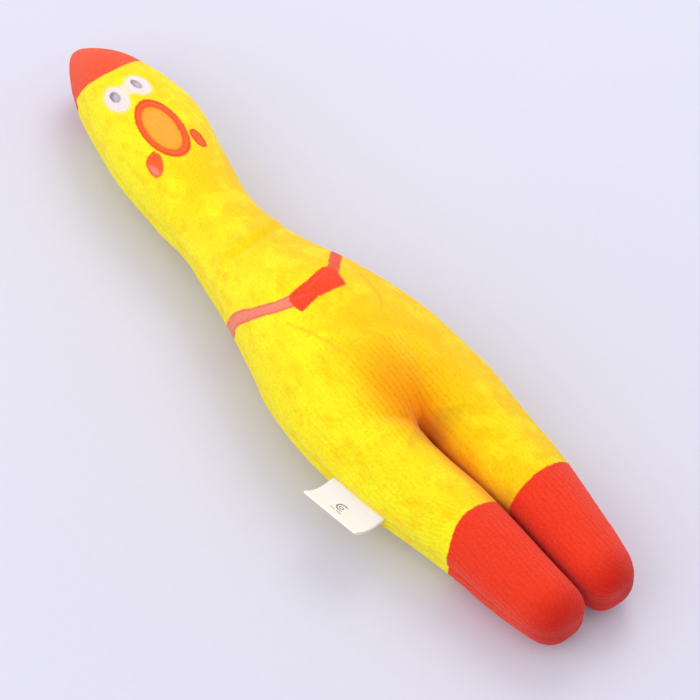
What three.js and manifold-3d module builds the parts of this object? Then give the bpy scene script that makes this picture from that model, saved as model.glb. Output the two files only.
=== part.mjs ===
// A stuffed plush chicken, lying on its back: printed velour panels sewn round a soft filling,
// with a squeaker in the belly, a care label in the side seam and a hand-sewn closing seam.
// Millimetres, +Z up. The head points along +Y and the feet along -Y; the face looks up.
// The origin is the middle of the underside.
import * as THREE from 'three';
import { mergeVertices } from 'three/addons/utils/BufferGeometryUtils.js';
import Module from 'manifold-3d';

const wasm = await Module();
wasm.setup();

// ---- driving dimensions ------------------------------------------------------------------
const FEET_END = -146;
const HEAD_END = 154;
const BODY_END = -63;        // rounded lower end of the belly, between the legs
const LEG_TOP = -34;         // where a leg's own form starts, inside the hips
const LEG_HALF_GAP = 0.5;    // half the gap between the two legs
const CLOTH = 1.2;           // panel thickness
const FIT_GAP = 0.3;         // gap between touching pieces
const RING_POINTS = 20;      // points round a section
const STEP_ALONG = 12;       // distance between sections
const ROUND_RINGS = 3;       // sections in each rounded end
const SEAM_STEP = 10;        // distance between points of the seam line
const CLEAR = 60;            // how far cutting blocks reach past the toy
const TALL = 80;

// Plan of the whole toy: [y, half width, sideways shift of the middle, height of the seam].
const PLAN = [
  [-146, 20.5, 4.9, 12.5], [-125, 24.2, 4.3, 13.3], [-100, 28.5, 4.2, 14], [-75, 32.2, 1.9, 15.5],
  [-50, 34.8, -0.1, 18.5], [-25, 33.2, -1.2, 20.3], [0, 27, -1.8, 20.5], [20, 21.2, -3, 19.5],
  [37, 17.8, -3.1, 18.5], [52, 16.3, -2.5, 18], [68, 18, -1.3, 18], [95, 20.8, 2.5, 18.5],
  [115, 19, 4, 18.5], [132, 15, 4.2, 17.5], [154, 10, 3.6, 16],
];
// Half thickness of the belly, neck and head: [y, half thickness].
const BODY_SIDE = [
  [-63, 17], [-40, 21.5], [-20, 22.5], [5, 22], [25, 18.5], [50, 15.5], [75, 17.5], [105, 19],
  [130, 17], [154, 13],
];
// Half thickness of the legs.
const LEG_SIDE = [[-146, 12], [-125, 13.3], [-100, 14], [-75, 15], [-50, 17.5], [-34, 18]];
const HEAD_ROUND = 26;       // lengths over which the ends of the forms round off
const BELLY_ROUND = 16;
const FOOT_ROUND = 15;
const THIGH_ROUND = 16;

// Joints: the hinge line of each, and the length of toy either side that flexes.
const NECK_HINGE_Y = 45;
const NECK_FLEX = 10.5;
const HIP_HINGE_Y = -75;
const HIP_FLEX = 10.5;

// Squeaker: a two-part plastic bulb, pressed along Z.
const SQUEAKER = {
  y: -12, radius: 16, wall: 1, halfHeight: 9, press: 5, chamfer: 1.5, slideGap: 0.4, floorRoom: 1, sides: 18,
};
const POCKET_ROOM = 0.5;     // room left in the filling round the squeaker
const REED_HOLE = 3.6;
const HOLDER = { wall: 1.4, length: 5, flange: 5, rim: 0.7, reedWidth: 2.4, reedThick: 0.3 };

// Care label, folded double and caught in the left seam.
const LABEL = { y0: -82, y1: -60, reach: 12, ply: 0.5, fold: 0.6, stand: 0.6 };

// Hand-sewn closing seam on the right side.
const CLOSING = { y0: -30, y1: 14, stitch: 5.5, swing: 1, thread: 0.35, sides: 5, perStitch: 4 };

// ---- colours -----------------------------------------------------------------------------
const velour = (color) => new THREE.MeshStandardMaterial({ color, roughness: 0.95, metalness: 0 });
const YELLOW = velour(0xffec1c);
const RED = velour(0xf7472b);
const FILLING = velour(0xf4f4f0);
const LABEL_WHITE = new THREE.MeshStandardMaterial({ color: 0xf7f7f5, roughness: 0.6, metalness: 0 });
const THREAD = new THREE.MeshStandardMaterial({ color: 0xe8d61a, roughness: 0.8, metalness: 0 });
const BULB = new THREE.MeshStandardMaterial({ color: 0xe9eef0, roughness: 0.4, metalness: 0 });
const REED = new THREE.MeshStandardMaterial({ color: 0xf2f2ea, roughness: 0.35, metalness: 0 });

// ---- curves ------------------------------------------------------------------------------
// Smooth curve through rows of [y, value, value, ...], read at any y.
function rowCurve(rows) {
  return (y, column) => {
    let i = rows.findIndex((row) => row[0] >= y);
    if (i < 0) i = rows.length - 1;
    i = Math.max(i, 1);
    const at = (k) => rows[Math.min(Math.max(k, 0), rows.length - 1)];
    const [p0, p1, p2, p3] = [at(i - 2), at(i - 1), at(i), at(i + 1)];
    const t = Math.min(Math.max((y - p1[0]) / (p2[0] - p1[0]), 0), 1);
    const slope1 = (p2[column] - p0[column]) / (p2[0] - p0[0]);
    const slope2 = (p3[column] - p1[column]) / (p3[0] - p1[0]);
    const run = p2[0] - p1[0];
    const h00 = (1 + 2 * t) * (1 - t) * (1 - t);
    const h10 = t * (1 - t) * (1 - t);
    const h01 = t * t * (3 - 2 * t);
    const h11 = t * t * (t - 1);
    return h00 * p1[column] + h10 * run * slope1 + h01 * p2[column] + h11 * run * slope2;
  };
}
const plan = rowCurve(PLAN);
const bodySide = rowCurve(BODY_SIDE);
const legSide = rowCurve(LEG_SIDE);

// 1 along the form, falling to 0 in a quarter ellipse over `round` at each end.
function endRounding(y, low, high, lowRound, highRound) {
  const fromLow = Math.min((y - low) / lowRound, 1);
  const fromHigh = Math.min((high - y) / highRound, 1);
  const left = Math.max(Math.min(fromLow, fromHigh), 0);
  return Math.sqrt(1 - (1 - left) ** 2);
}

// Section at y of the belly, neck and head: { x, z, a, b }.
function bodySection(y, inset) {
  const round = endRounding(y, BODY_END + inset, HEAD_END - inset, BELLY_ROUND, HEAD_ROUND);
  return {
    x: plan(y, 2),
    z: plan(y, 3),
    a: (plan(y, 1) - inset) * round,
    b: (bodySide(y, 1) - inset) * round,
  };
}

// Section at y of one leg; side is -1 for the left leg and 1 for the right.
function legSection(y, inset, side) {
  const round = endRounding(y, FEET_END + inset, LEG_TOP - inset, FOOT_ROUND, THIGH_ROUND);
  const outer = plan(y, 1);
  return {
    x: plan(y, 2) + side * (outer + LEG_HALF_GAP) / 2,
    z: plan(y, 3),
    a: ((outer - LEG_HALF_GAP) / 2 - inset) * round,
    b: (legSide(y, 1) - inset) * round,
  };
}

// ---- solids ------------------------------------------------------------------------------
function toManifold(geometry) {
  const bare = geometry.clone();
  bare.deleteAttribute('normal');
  bare.deleteAttribute('uv');
  const merged = mergeVertices(bare, 1e-5);
  return new wasm.Manifold(new wasm.Mesh({
    numProp: 3,
    vertProperties: new Float32Array(merged.attributes.position.array),
    triVerts: new Uint32Array(merged.index.array),
  }));
}

function toGeometry(solid) {
  const { vertProperties, triVerts } = solid.getMesh();
  const geometry = new THREE.BufferGeometry();
  geometry.setAttribute('position', new THREE.BufferAttribute(vertProperties, 3));
  geometry.setIndex(new THREE.BufferAttribute(triVerts, 1));
  geometry.computeVertexNormals();
  return geometry;
}

// Stations along Y, closer together where the ends round off.
function stations(low, high, lowRound, highRound) {
  const list = [];
  const inRound = (i, round) => round * (1 - Math.cos(i * Math.PI / 2 / (ROUND_RINGS + 1)));
  const straight = high - highRound - low - lowRound;
  const steps = Math.round(straight / STEP_ALONG);
  for (let i = 1; i <= ROUND_RINGS; i += 1) list.push(low + inRound(i, lowRound));
  for (let i = 0; i <= steps; i += 1) list.push(low + lowRound + straight * i / steps);
  for (let i = ROUND_RINGS; i >= 1; i -= 1) list.push(high - inRound(i, highRound));
  return list;
}

// Closed solid through elliptical sections; its underside is pressed flat on z = inset.
function loft(section, low, high, lowRound, highRound, inset) {
  const positions = [];
  const addPoint = (x, y, z) => positions.push(x, y, Math.max(z, inset));
  const ys = stations(low + inset, high - inset, lowRound, highRound);
  const start = section(low + inset, inset);
  addPoint(start.x, low + inset, start.z);
  for (const y of ys) {
    const s = section(y, inset);
    for (let k = 0; k < RING_POINTS; k += 1) {
      const angle = 2 * Math.PI * k / RING_POINTS;
      addPoint(s.x + s.a * Math.cos(angle), y, s.z + s.b * Math.sin(angle));
    }
  }
  const end = section(high - inset, inset);
  addPoint(end.x, high - inset, end.z);
  const last = positions.length / 3 - 1;
  const faces = [];
  for (let k = 0; k < RING_POINTS; k += 1) {
    const next = (k + 1) % RING_POINTS;
    faces.push(0, 1 + k, 1 + next);
    faces.push(last, last - RING_POINTS + next, last - RING_POINTS + k);
    for (let ring = 0; ring < ys.length - 1; ring += 1) {
      const a = 1 + ring * RING_POINTS;
      const b = a + RING_POINTS;
      faces.push(a + k, b + k, b + next, a + k, b + next, a + next);
    }
  }
  const geometry = new THREE.BufferGeometry();
  geometry.setAttribute('position', new THREE.Float32BufferAttribute(positions, 3));
  geometry.setIndex(faces);
  return geometry;
}

// One leg as a solid, `inset` inside its outer face.
function legSolid(inset, side) {
  const section = (y, by) => legSection(y, by, side);
  return toManifold(loft(section, FEET_END, LEG_TOP, FOOT_ROUND, THIGH_ROUND, inset));
}

// The whole toy as one solid, `inset` inside its outer face.
function wholeToy(inset) {
  const body = toManifold(loft(bodySection, BODY_END, HEAD_END, BELLY_ROUND, HEAD_ROUND, inset));
  return body.add(legSolid(inset, -1)).add(legSolid(inset, 1));
}

const boxSolid = (x0, x1, y0, y1, z0, z1) => toManifold(
  new THREE.BoxGeometry(x1 - x0, y1 - y0, z1 - z0).translate((x0 + x1) / 2, (y0 + y1) / 2, (z0 + z1) / 2),
);

// Everything above the curved seam line; `lift` raises the cut.
function aboveSeam(lift) {
  const low = FEET_END - CLEAR;
  const high = HEAD_END + CLEAR;
  const outline = new THREE.Shape();
  outline.moveTo(low, TALL);
  outline.lineTo(low, plan(low, 3) + lift);
  for (let y = FEET_END; y <= HEAD_END; y += SEAM_STEP) outline.lineTo(y, plan(y, 3) + lift);
  outline.lineTo(high, plan(high, 3) + lift);
  outline.lineTo(high, TALL);
  const block = new THREE.ExtrudeGeometry(outline, { depth: 2 * CLEAR, bevelEnabled: false });
  block.translate(0, 0, -CLEAR);
  const yzxToXyz = new THREE.Matrix4().makeBasis(
    new THREE.Vector3(0, 1, 0), new THREE.Vector3(0, 0, 1), new THREE.Vector3(1, 0, 0),
  );
  return toManifold(block.applyMatrix4(yzxToXyz));
}

// A slice of a solid between two places along Y, pulled in by half a gap at each cut.
function slice(solid, [y0, y1]) {
  return solid.intersect(boxSolid(-CLEAR, CLEAR, y0 + FIT_GAP / 2, y1 - FIT_GAP / 2, -CLEAR, CLEAR));
}

const part = new THREE.Group();

function addPiece(name, geometry, material) {
  const mesh = new THREE.Mesh(geometry, material);
  mesh.name = name;
  part.add(mesh);
  return mesh;
}

// ---- panels and filling ------------------------------------------------------------------
// Each of the two panels is one cut of cloth; it is held here as one node per moving region.
const HIP_SPAN = [HIP_HINGE_Y - HIP_FLEX, HIP_HINGE_Y + HIP_FLEX];
const LEG_SPAN = [FEET_END - CLEAR, HIP_HINGE_Y - HIP_FLEX];
const TOY_REGIONS = [
  { name: 'head', span: [NECK_HINGE_Y + NECK_FLEX, HEAD_END + CLEAR] },
  { name: 'neck', span: [NECK_HINGE_Y - NECK_FLEX, NECK_HINGE_Y + NECK_FLEX] },
  { name: 'body', span: [HIP_HINGE_Y + HIP_FLEX, NECK_HINGE_Y - NECK_FLEX] },
];

// The front and back panels and the filling of one region, cut from solids of three sizes.
function addRegion({ name, span }, solidAt, above, aboveOrOn, color) {
  const ring = slice(solidAt(0).subtract(solidAt(CLOTH)), span);
  addPiece(`front_panel_${name}`, toGeometry(ring.intersect(above)), color);
  addPiece(`back_panel_${name}`, toGeometry(ring.subtract(aboveOrOn)), color);
  const wad = slice(solidAt(CLOTH + FIT_GAP), span);
  if (name === 'body') {
    const hollow = wad.subtract(squeakerPocket());
    addPiece('filling_body_front', toGeometry(hollow.intersect(above)), FILLING);
    addPiece('filling_body_back', toGeometry(hollow.subtract(aboveOrOn)), FILLING);
  } else {
    addPiece(`filling_${name}`, toGeometry(wad), FILLING);
  }
}

function addPanelsAndFilling() {
  const above = aboveSeam(FIT_GAP / 2);
  const aboveOrOn = aboveSeam(-FIT_GAP / 2);
  for (const region of TOY_REGIONS) addRegion(region, wholeToy, above, aboveOrOn, YELLOW);
  for (const [name, side] of [['left', -1], ['right', 1]]) {
    const leg = (inset) => legSolid(inset, side);
    addRegion({ name: `${name}_hip`, span: HIP_SPAN }, leg, above, aboveOrOn, YELLOW);
    addRegion({ name: `${name}_leg`, span: LEG_SPAN }, leg, above, aboveOrOn, RED);
  }
}

// ---- squeaker ----------------------------------------------------------------------------
// Turned solid about a vertical axis at the squeaker; profile is [[radius, height], ...].
function turned(profile) {
  const points = profile.map(([r, z]) => new THREE.Vector2(r, z));
  const geometry = new THREE.LatheGeometry(points, SQUEAKER.sides);
  geometry.rotateX(Math.PI / 2);
  geometry.translate(plan(SQUEAKER.y, 2), SQUEAKER.y, plan(SQUEAKER.y, 3));
  return geometry;
}

function squeakerPocket() {
  const r = SQUEAKER.radius + POCKET_ROOM;
  const h = SQUEAKER.halfHeight + POCKET_ROOM;
  return toManifold(turned([[0, -h], [r, -h], [r, h], [0, h]]));
}

function addSqueaker() {
  const { radius, wall, halfHeight: h, press, chamfer } = SQUEAKER;
  const inner = radius - wall;
  const plunger = inner - SQUEAKER.slideGap;
  const skirt = -h + wall + SQUEAKER.floorRoom + press;
  addPiece('squeaker_bulb_lower', turned([
    [REED_HOLE, -h], [radius - chamfer, -h], [radius, -h + chamfer], [radius, 1],
    [inner, 1], [inner, -h + wall], [REED_HOLE, -h + wall], [REED_HOLE, -h],
  ]), BULB);
  addPiece('squeaker_bulb_upper', turned([
    [0, h - wall], [plunger - wall, h - wall], [plunger - wall, skirt], [plunger, skirt],
    [plunger, h - chamfer], [plunger - chamfer, h], [0, h],
  ]), BULB);
  const tube = REED_HOLE - FIT_GAP;
  const bore = tube - HOLDER.wall;
  const flangeLow = -h + wall + FIT_GAP;
  addPiece('reed_holder', turned([
    [bore, -h], [tube, -h], [tube, flangeLow], [HOLDER.flange, flangeLow],
    [HOLDER.flange, flangeLow + HOLDER.rim], [tube, flangeLow + HOLDER.rim],
    [tube, -h + HOLDER.length], [bore, -h + HOLDER.length], [bore, -h],
  ]), REED);
  const reed = new THREE.BoxGeometry(HOLDER.reedWidth, HOLDER.reedThick, HOLDER.length - 1);
  reed.translate(plan(SQUEAKER.y, 2), SQUEAKER.y, plan(SQUEAKER.y, 3) - h + HOLDER.length / 2);
  addPiece('reed', reed, REED);
}

// ---- label and closing seam --------------------------------------------------------------
// A strip folded double, its two cut ends towards the seam.
function addCareLabel() {
  const { y0, y1, reach, ply, fold } = LABEL;
  const half = ply + fold / 2;
  const bend = -reach + half;
  const outline = new THREE.Shape();
  outline.moveTo(0, half);
  outline.lineTo(bend, half);
  outline.absarc(bend, 0, half, Math.PI / 2, -Math.PI / 2, false);
  outline.lineTo(0, -half);
  outline.lineTo(0, -fold / 2);
  outline.lineTo(bend, -fold / 2);
  outline.absarc(bend, 0, fold / 2, -Math.PI / 2, Math.PI / 2, true);
  outline.lineTo(0, fold / 2);
  const strip = new THREE.ExtrudeGeometry(outline, { depth: y1 - y0, bevelEnabled: false, curveSegments: 4 });
  strip.rotateX(Math.PI / 2);
  const edge0 = plan(y0, 2) - plan(y0, 1);
  const edge1 = plan(y1, 2) - plan(y1, 1);
  const label = addPiece('care_label', strip, LABEL_WHITE);
  label.rotation.z = Math.atan2(edge0 - edge1, y1 - y0);
  label.position.set(edge1 - LABEL.stand, y1, plan((y0 + y1) / 2, 3));
}

// One thread that crosses the closed seam again and again, outside the cloth.
function addClosingStitches() {
  const { y0, y1, stitch, swing, thread, sides, perStitch } = CLOSING;
  const turns = Math.round((y1 - y0) / stitch) * perStitch;
  const path = [];
  for (let i = 0; i <= turns; i += 1) {
    const y = y0 + (y1 - y0) * i / turns;
    const x = plan(y, 2) + plan(y, 1) + thread + FIT_GAP;
    path.push(new THREE.Vector3(x, y, plan(y, 3) + swing * Math.sin(2 * Math.PI * i / perStitch)));
  }
  const section = new THREE.Shape();
  for (let k = 0; k < sides; k += 1) {
    const angle = 2 * Math.PI * k / sides;
    section[k ? 'lineTo' : 'moveTo'](thread * Math.cos(angle), thread * Math.sin(angle));
  }
  const extrudePath = new THREE.CatmullRomCurve3(path);
  addPiece('closing_stitches', new THREE.ExtrudeGeometry(section, { steps: turns, extrudePath }), THREAD);
}

addPanelsAndFilling();
addSqueaker();
addCareLabel();
addClosingStitches();

export default part;
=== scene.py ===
"""A stuffed plush chicken lying on its back: ribbed velour panels round a fibre filling.

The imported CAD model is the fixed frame. Shapes are worked out in millimetres in that frame and
turned into metres at the end. +Y is towards the head, +Z is up, and left is -X, as seen from above.
"""
import itertools
import math

import bpy
import numpy as np
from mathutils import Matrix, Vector


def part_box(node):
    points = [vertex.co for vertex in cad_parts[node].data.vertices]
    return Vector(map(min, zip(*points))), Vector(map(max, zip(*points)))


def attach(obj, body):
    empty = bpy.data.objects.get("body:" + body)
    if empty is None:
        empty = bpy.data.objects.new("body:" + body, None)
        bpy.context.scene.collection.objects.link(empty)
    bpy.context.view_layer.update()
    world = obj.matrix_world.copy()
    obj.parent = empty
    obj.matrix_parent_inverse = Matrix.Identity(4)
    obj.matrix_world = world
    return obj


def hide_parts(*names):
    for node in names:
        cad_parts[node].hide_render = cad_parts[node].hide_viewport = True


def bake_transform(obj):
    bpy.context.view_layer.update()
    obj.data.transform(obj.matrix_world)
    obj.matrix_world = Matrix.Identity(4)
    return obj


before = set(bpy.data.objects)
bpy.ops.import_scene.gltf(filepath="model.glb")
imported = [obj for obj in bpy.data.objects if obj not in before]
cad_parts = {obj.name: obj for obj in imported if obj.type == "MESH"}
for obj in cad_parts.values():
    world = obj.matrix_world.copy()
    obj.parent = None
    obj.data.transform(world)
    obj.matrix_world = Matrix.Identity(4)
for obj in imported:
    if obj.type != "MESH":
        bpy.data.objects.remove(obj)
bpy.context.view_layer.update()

# ---- driving dimensions ----------------------------------------------------------------------
MM = 0.001
FEET_END = -146
CROTCH_Y = -60
HEAD_END = 154
LEG_HALF_GAP = 0.3
HEAD_ROUND = 26              # length over which the head's tip rounds off
FOOT_ROUND = 13              # and a foot's
FOOT_BLUNTNESS = 3.0         # 2 is a quarter ellipse, more is squarer
LEGS_PRESSED = 0.65          # below 1, the legs' inner sides are fuller than an oval
LEGS_PARTED = (10, 40)       # how far below the crotch one hollowed form turns into two ovals
CROTCH_REACH = 24            # how far the hollow between the legs runs up into the belly
CROTCH_SPREAD = 28           # and how far up the mesh columns shift to meet those of the legs

# Plan: [y, half width, sideways shift of the middle, height of the seam].
PLAN = [
    [-146, 20.5, 4.9, 12.5], [-125, 24.2, 4.3, 13.3], [-100, 28.5, 4.2, 14], [-75, 32.2, 1.9, 15.5],
    [-50, 34.8, -0.1, 18.5], [-25, 33.2, -1.2, 20.3], [0, 27, -1.8, 20.5], [20, 21.2, -3, 19.5],
    [37, 17.8, -3.1, 18.5], [52, 16.3, -2.5, 18], [68, 18, -1.3, 18], [95, 20.8, 2.5, 18.5],
    [115, 19, 4, 18.5], [132, 15, 4.2, 17.5], [154, 10, 3.6, 16],
]
# Half thickness of the belly, neck and head, and of one leg: [y, half thickness].
BODY_SIDE = [
    [-60, 21.9], [-40, 21.5], [-20, 22.5], [5, 22], [25, 18.5], [50, 15.5], [75, 17.5], [105, 19],
    [130, 17], [154, 13],
]
LEG_SIDE = [[-146, 12], [-125, 13.3], [-100, 14], [-75, 15], [-60, 15.5], [-34, 16]]

# The neck's stretch along Y, from the torso's end to the head's; the head and body pieces meet at its torso
# end.
NECK_BEND = (22, 68)

FINE_COLUMNS = 150           # columns from the middle line to the outer seam
FINE_STEP = 0.9
FIRST_STEP = 0.15            # share of it between the first rows at a tip or the crotch
FIRST_RUN = 5                # length over which the steps grow to full size
COARSE_COLUMNS = 10          # the shell that the pressure simulation runs on
COARSE_STEP = 4.2

PRESSURE = 20
PRESSURE_FRAMES = 20
SWELL_ROOM = 0.6             # how far inside its final place the simulated shell starts
SWELL_LIMITS = (-0.6, 1.1)   # how far the simulation may move a point in and out
SLIDE_LIMIT = 0.8            # and along the surface

SEAM_DEPTH = 0.5
SEAM_WIDTH = 1.1
PUCKER_DEPTH = 0.18          # the cloth gathered beside a seam
PUCKER_WIDTH = 3.5
PUCKER_PITCH = 4.3
LUMPS = [(0.45, 21, 3), (0.22, 9, 4)]   # uneven filling: height, size and seed
RIB_PITCH = 1.9
RIB_DEPTH = 0.038            # half the height of a rib at the feet
RIB_FADE = 0.3               # share of that height left where the head is stuffed tight
ROW_PITCH = 1.4              # spacing of the tufts along a rib
FLOOR_EASE = 0.6             # how softly the skin is held above the floor

FILLING_KEEP = 0.84          # share of the skin's size that a filling takes
FILLING_END = 11             # and how far from the toy's ends it stops
LABEL = {"low_y": -78.8, "high_y": -57.3, "reach": 11.6, "fold": 0.5, "tucked": 1.0, "ply": 0.28}
WEAVE_PITCH = 0.45           # of the label's tape
STITCH = {"low_y": -30, "high_y": 14, "pitch": 5.5, "radius": 0.28, "reach": 1.7, "slant": 0.9}
THREAD_SIDES = 10

CAMERA = {"target": (1.9, -20.2, 19.7), "azimuth": -37, "elevation": 53.5, "distance": 786, "lens": 119.3}
LIGHT_TARGET = (0, 0, 20)
LIGHTS = {
    "key": {"azimuth": 125, "elevation": 50, "size": 500, "power": 2.0, "colour": (1.0, 0.98, 0.96)},
    "fill": {"azimuth": -95, "elevation": 40, "size": 700, "power": 1.6, "colour": (1.0, 0.98, 0.97)},
}
LIGHT_DISTANCE = 900
WORLD_COLOUR = (0.97, 0.97, 1.0, 1)
WORLD_STRENGTH = 0.96
FLOOR_SIZE = 6000


# ---- curves ----------------------------------------------------------------------------------
def row_curve(rows, column):
    """Smooth curve through one column of rows [y, value, ...], as a function of y."""
    ys = np.array([row[0] for row in rows], float)
    values = np.array([row[column] for row in rows], float)
    wide_y = np.concatenate([ys[:1], ys, ys[-1:]])
    wide_v = np.concatenate([values[:1], values, values[-1:]])
    slopes = (wide_v[2:] - wide_v[:-2]) / (wide_y[2:] - wide_y[:-2])

    def curve(y):
        i = np.clip(np.searchsorted(ys, y) - 1, 0, len(ys) - 2)
        run = ys[i + 1] - ys[i]
        t = np.clip((y - ys[i]) / run, 0, 1)
        level = (1 + 2 * t) * (1 - t) ** 2 * values[i] + t * t * (3 - 2 * t) * values[i + 1]
        return level + run * (t * (1 - t) ** 2 * slopes[i] + t * t * (t - 1) * slopes[i + 1])

    return curve


half_width = row_curve(PLAN, 1)
middle_x = row_curve(PLAN, 2)
seam_z = row_curve(PLAN, 3)
body_side = row_curve(BODY_SIDE, 1)
leg_side = row_curve(LEG_SIDE, 1)


def smooth(value, low, high):
    """0 at low, 1 at high, with level ends."""
    t = np.clip((value - low) / (high - low), 0, 1)
    return t * t * (3 - 2 * t)


def mix(a, b, share):
    return a + (b - a) * share


def end_round(distance, length, power=2.0):
    """1 away from an end of the toy, falling to 0 at the end itself."""
    left = np.clip(distance / length, 0, 1)
    return (1 - (1 - left) ** power) ** (1 / power)


def soft_low(a, b, reach):
    """The lower of two values, rounded off where they are less than reach apart."""
    near = np.maximum(reach - np.abs(a - b), 0) / reach
    return np.minimum(a, b) - near * near * reach / 4


def bump(value, middle, width):
    """A rounded hump, 1 at middle."""
    return np.exp(-((value - middle) / width) ** 2)


def value_noise(points, size, seed):
    """Smooth random values from -1 to 1 that change over about size millimetres."""
    cells = 48
    lattice = np.random.default_rng(seed).uniform(-1, 1, (cells, cells, cells))
    scaled = points / size
    base = np.floor(scaled).astype(int)
    part = scaled - base
    part = part * part * (3 - 2 * part)
    total = np.zeros(len(points))
    for corner in itertools.product((0, 1), repeat=3):
        weight = np.prod(np.where(corner, part, 1 - part), axis=1)
        i, j, k = ((base + corner) % cells).T
        total += weight * lattice[i, j, k]
    return total


# ---- the stuffed form ------------------------------------------------------------------------
def stations(start, stop, step, fine):
    """Places from start to stop about step apart; if fine, they begin close together."""
    length = abs(stop - start)
    places = [0.0]
    while places[-1] < length:
        share = min(FIRST_STEP + places[-1] / FIRST_RUN, 1) if fine else 1
        places.append(places[-1] + step * share)
    places = np.array(places) * length / places[-1]
    return start + math.copysign(1, stop - start) * places


def two_way(low, middle, high, step, fine):
    """Stations from low to high that meet at middle."""
    return np.concatenate([
        stations(low, middle, step, fine)[:-1], stations(high, middle, step, fine)[::-1],
    ])


def arc_length(x, height):
    """Length along each section, from its first point."""
    steps = np.hypot(np.diff(x, axis=1), np.diff(height, axis=1))
    return np.concatenate([np.zeros((len(x), 1)), np.cumsum(steps, axis=1)], axis=1)


def quarter(rows, shares, leg):
    """A quarter of the skin: x, height over the seam, arc length, and arc length for the ribs.

    The ribs' arc leaves out the hollow between the legs, so that the ribs run on past it.
    """
    y, s = rows[:, None], shares[None, :]
    full = half_width(y)
    gap = LEG_HALF_GAP * smooth(y, CROTCH_Y, CROTCH_Y - 4) if leg else 0.0
    if leg:
        rounding = end_round(y - FEET_END, FOOT_ROUND, FOOT_BLUNTNESS)
        width = full
        x = (width + gap) / 2 - (width - gap) / 2 * rounding * np.cos(math.pi * s)
    else:
        rounding = end_round(HEAD_END - y, HEAD_ROUND)
        width = full * rounding
        split = smooth(y, CROTCH_Y + CROTCH_SPREAD, CROTCH_Y)
        x = width * mix(np.sin(math.pi * s / 2), (1 - np.cos(math.pi * s)) / 2, split)
    above = y - CROTCH_Y
    inner = np.maximum(x - gap, 0)
    reach = np.sqrt(inner ** 2 + CROTCH_REACH * (np.hypot(inner, above) + above) / 2)
    across = np.maximum(width, 1e-6)
    valley = soft_low(2 * across * reach / ((across - gap) * (across + x)), 1, 0.35)
    oval = np.maximum(1 - (x / across) ** 2, 0)
    plain2 = (body_side(np.maximum(y, CROTCH_Y)) * (1 if leg else rounding)) ** 2 * oval
    height2 = plain2 * valley
    if leg:
        pressed = np.where(s < 0.5, LEGS_PRESSED, 1)
        leg2 = (leg_side(y) * rounding * np.sin(math.pi * s) ** pressed) ** 2
        parted = smooth(y, CROTCH_Y - LEGS_PARTED[0], CROTCH_Y - LEGS_PARTED[1])
        height2 = mix(height2, leg2, parted)
        plain2 = mix(plain2, leg2, parted)
    height = np.sqrt(np.maximum(height2, 0))
    return x, height, arc_length(x, height), arc_length(x, np.sqrt(np.maximum(plain2, 0)))


def around_body(values):
    """A quarter's values round the whole body: left seam, front, right seam, back."""
    inward, outward = values[:, :0:-1], values[:, :-1]
    return np.concatenate([inward, outward, inward, outward], axis=1)


def around_leg(values, side):
    """A quarter's values round one leg: the front from left to right, then the back."""
    inward, outward = values[:, :0:-1], values[:, :-1]
    return np.concatenate([inward, outward] if side < 0 else [outward, inward], axis=1)


class Skin:
    """The toy's outer face: rings of points round the body, and round each leg."""

    def __init__(self, columns, step, fine):
        self.columns = columns
        self.body_y = two_way(CROTCH_Y, NECK_BEND[0], HEAD_END, step, fine)
        self.leg_y = two_way(FEET_END, -100, CROTCH_Y, step, fine)[::-1]
        self.neck_row = int(np.argmin(np.abs(self.body_y - NECK_BEND[0])))
        shares = np.linspace(0, 1, columns + 1)
        body = quarter(self.body_y, shares, False)
        leg = quarter(self.leg_y, shares, True)
        n = columns
        right = np.repeat([-1, 1, 1, -1], n)
        front = np.repeat([1, 1, -1, -1], n)
        grids = [self._grid(self.body_y, [around_body(v) for v in body], right, front, False)]
        for side in (-1, 1):
            ring = [around_leg(v, side) for v in leg]
            sides = np.full(2 * n, side)
            grids.append(self._grid(self.leg_y, ring, sides, np.repeat([1, -1], n), True))
        self.points = np.concatenate([g[0] for g in grids])
        self.arc = np.concatenate([g[1] for g in grids])
        self.seam = np.concatenate([g[2] for g in grids])
        self._number(len(self.body_y), len(self.leg_y))
        self.faces = np.concatenate([grid_faces(self.body, True)] + [
            grid_faces(leg_ids, True)[:, ::-1] for leg_ids in self.legs
        ])

    @staticmethod
    def _grid(rows, ring, right, front, leg):
        x, height, arc, rib_arc = ring
        y = np.repeat(rows[:, None], x.shape[1], axis=1)
        points = np.stack([middle_x(y) + right * x, y, seam_z(y) + front * height], axis=2)
        to_seam = arc.max(axis=1, keepdims=True) - arc
        if leg:
            inner_seam_ends = 30 * smooth(y, CROTCH_Y - 12, CROTCH_Y)
            to_seam = np.minimum(to_seam, arc + inner_seam_ends)
        return points.reshape(-1, 3), rib_arc.ravel(), to_seam.ravel()

    def _number(self, body_rows, leg_rows):
        """Point numbers of each grid; points that grids share have one number."""
        n = self.columns
        body_size, leg_size = body_rows * 4 * n, leg_rows * 2 * n
        self.body = np.arange(body_size).reshape(body_rows, 4 * n)
        self.body[0, 3 * n] = self.body[0, n]
        self.body[-1, :] = self.body[-1, 0]
        left = body_size + np.arange(leg_size).reshape(leg_rows, 2 * n)
        right = left + leg_size
        crotch = self.body[0]
        left[0] = np.concatenate([crotch[:n], crotch[3 * n:]])
        right[0] = crotch[n:3 * n]
        for leg_ids in (left, right):
            leg_ids[-1, :] = leg_ids[-1, 0]
        self.legs = (left, right)

    def normals(self, points):
        """Unit normal at each point, from the faces round it."""
        a, b, c, d = (points[self.faces[:, k]] for k in range(4))
        face = np.cross(c - a, d - b)
        total = np.zeros_like(points)
        for axis in range(3):
            for k in range(4):
                total[:, axis] += np.bincount(self.faces[:, k], face[:, axis], len(points))
        return total / np.maximum(np.linalg.norm(total, axis=1, keepdims=True), 1e-9)


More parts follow.
